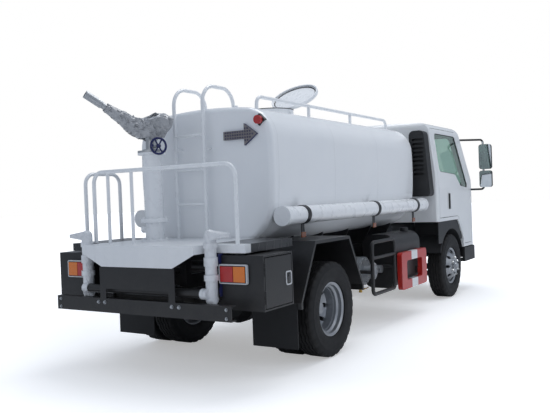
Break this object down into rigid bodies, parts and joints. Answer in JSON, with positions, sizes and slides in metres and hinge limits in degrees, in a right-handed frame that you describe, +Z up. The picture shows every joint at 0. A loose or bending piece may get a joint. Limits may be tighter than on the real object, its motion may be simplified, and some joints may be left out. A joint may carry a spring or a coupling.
{
  "type": "water tanker truck",
  "caption": "Light forward-control truck with a rounded water tank, rear platform with spray cannon and nozzles, tilting cab, steered wheels, opening doors, tool boxes and manhole lid.",
  "frame": {"origin": "on the ground under the middle of the truck's length and width", "axes": "+X forward, +Y to the truck's left, +Z up"},
  "size_m": [5.7, 2.27, 2.4732],
  "materials": {
    "white_paint": "gloss white paint",
    "black_paint": "satin black paint",
    "red_paint": "gloss red paint with white bands",
    "silver_wheel": "silver wheel paint",
    "spring_steel": "dark spring steel",
    "cast_axle": "black cast iron",
    "engine_metal": "grey cast metal",
    "pump_metal": "cast aluminium",
    "tyre_rubber": "black tyre rubber",
    "flap_rubber": "black rubber sheet",
    "black_plastic": "grained black plastic",
    "grey_plastic": "dark grey plastic",
    "red_lens": "clear red lens",
    "amber_lens": "clear amber lens",
    "clear_lens": "clear lens",
    "tinted_glass": "green tinted glass",
    "seat_fabric": "dark woven fabric",
    "clear_film": "thin crumpled packing film"
  },
  "bodies": {
    "chassis": {"chassis_frame": "black_paint", "leaf_springs": "spring_steel", "rear_axle": "cast_axle", "front_axle": "cast_axle", "drive_line": "engine_metal", "tank_shell": "white_paint", "tank_top_fittings": "white_paint", "handrails": "white_paint", "ladder": "white_paint", "tank_subframe": "black_paint", "platform": "white_paint", "cannon_column": "white_paint", "rear_sprayers": "white_paint", "tool_boxes": "black_paint", "underrun_bar": "black_paint", "rear_fenders": "black_paint", "mud_flaps": "flap_rubber", "hose_tubes": "white_paint", "tube_straps": "black_paint", "fuel_tank": "black_paint", "battery_box": "black_paint", "side_guards": "red_paint", "pump_frame": "black_paint", "water_pump_and_pipes": "pump_metal", "lamp_housings": "black_plastic", "red_lenses": "red_lens", "amber_lenses": "amber_lens", "arrow_lamp": "black_plastic", "front_bumper": "black_plastic"},
    "cab": {"cab_shell": "white_paint", "cab_glass": "tinted_glass", "front_grille": "black_plastic", "headlamps": "clear_lens", "front_arches": "black_plastic", "seats": "seat_fabric", "dashboard": "grey_plastic", "mirrors": "black_plastic", "air_intake": "black_plastic"},
    "door_left": {"door_left": "white_paint", "door_glass_left": "tinted_glass"},
    "knuckle_left": {"knuckle_left": "cast_axle"},
    "front_wheel_left": {"front_wheel_left": "silver_wheel", "front_tyre_left": "tyre_rubber"},
    "rear_wheels_left": {"rear_wheels_left": "silver_wheel", "rear_tyres_left": "tyre_rubber"},
    "tool_box_door_left": {"tool_box_door_left": "black_paint"},
    "door_right": {"door_right": "white_paint", "door_glass_right": "tinted_glass"},
    "knuckle_right": {"knuckle_right": "cast_axle"},
    "front_wheel_right": {"front_wheel_right": "silver_wheel", "front_tyre_right": "tyre_rubber"},
    "rear_wheels_right": {"rear_wheels_right": "silver_wheel", "rear_tyres_right": "tyre_rubber"},
    "tool_box_door_right": {"tool_box_door_right": "black_paint"},
    "tie_rod": {"tie_rod": "spring_steel"},
    "steering_wheel": {"steering_wheel": "grey_plastic"},
    "manhole_lid": {"manhole_lid": "white_paint"},
    "cannon_turret": {"cannon_turret": "pump_metal"},
    "cannon_barrel": {"cannon_barrel": "pump_metal", "cannon_wrap": "clear_film"}
  },
  "joints": [
    {"name": "cab_tilt", "type": "hinge", "parent": "chassis", "child": "cab", "pos_m": [2.7, 0, 0.642], "axis": [0, 1, 0], "range_deg": [0, 45]},
    {"name": "door_left_swing", "type": "hinge", "parent": "cab", "child": "door_left", "pos_m": [2.603, 0.865, 1], "axis": [0, 0, -1], "range_deg": [0, 70]},
    {"name": "door_right_swing", "type": "hinge", "parent": "cab", "child": "door_right", "pos_m": [2.603, -0.865, 1], "axis": [0, 0, 1], "range_deg": [0, 70]},
    {"name": "steer_left", "type": "hinge", "parent": "chassis", "child": "knuckle_left", "pos_m": [1.8, 0.64, 0.387], "axis": [0, 0, 1], "range_deg": [-36, 36]},
    {"name": "steer_right", "type": "hinge", "parent": "chassis", "child": "knuckle_right", "pos_m": [1.8, -0.64, 0.387], "axis": [0, 0, 1], "range_deg": [-36, 36]},
    {"name": "tie_rod_slide", "type": "slide", "parent": "chassis", "child": "tie_rod", "axis": [0, -1, 0], "range_m": [-0.1, 0.1]},
    {"name": "steering_wheel_turn", "type": "hinge", "parent": "cab", "child": "steering_wheel", "pos_m": [2.33779, 0.43, 1.34619], "axis": [-0.8192, 0, 0.5736], "range_deg": [-504, 504]},
    {"name": "manhole_lid_swing", "type": "hinge", "parent": "chassis", "child": "manhole_lid", "pos_m": [-0.675, 0, 2.157], "axis": [0, 1, 0], "range_deg": [-145, 10]},
    {"name": "tool_box_door_left_swing", "type": "hinge", "parent": "chassis", "child": "tool_box_door_left", "pos_m": [-2.665, 1, 0.73], "axis": [0, 0, 1], "range_deg": [0, 100]},
    {"name": "tool_box_door_right_swing", "type": "hinge", "parent": "chassis", "child": "tool_box_door_right", "pos_m": [-2.665, -1, 0.73], "axis": [0, 0, -1], "range_deg": [0, 100]},
    {"name": "cannon_swivel", "type": "hinge", "parent": "chassis", "child": "cannon_turret", "pos_m": [-2.36, 0.24, 1.83], "axis": [0, 0, 1], "range_deg": [-60, 115]},
    {"name": "cannon_elevation", "type": "hinge", "parent": "cannon_turret", "child": "cannon_barrel", "pos_m": [-2.36, 0.24, 1.83], "axis": [0.454, 0.891, 0], "range_deg": [-47, 38]},
    {"name": "front_wheel_left_spin", "type": "hinge", "parent": "knuckle_left", "child": "front_wheel_left", "pos_m": [1.8, 0.752, 0.387], "axis": [0, 1, 0], "continuous": true},
    {"name": "rear_wheels_left_spin", "type": "hinge", "parent": "chassis", "child": "rear_wheels_left", "pos_m": [-1.56, 0.712, 0.387], "axis": [0, 1, 0], "continuous": true},
    {"name": "front_wheel_right_spin", "type": "hinge", "parent": "knuckle_right", "child": "front_wheel_right", "pos_m": [1.8, -0.752, 0.387], "axis": [0, 1, 0], "continuous": true},
    {"name": "rear_wheels_right_spin", "type": "hinge", "parent": "chassis", "child": "rear_wheels_right", "pos_m": [-1.56, -0.712, 0.387], "axis": [0, 1, 0], "continuous": true}
  ],
  "couplings": [
    {"joint": "steer_right", "follows": "steer_left", "ratio": 1},
    {"joint": "tie_rod_slide", "follows": "steer_left", "m_per_rad": 0.159},
    {"joint": "steering_wheel_turn", "follows": "steer_left", "ratio": 14}
  ]
}
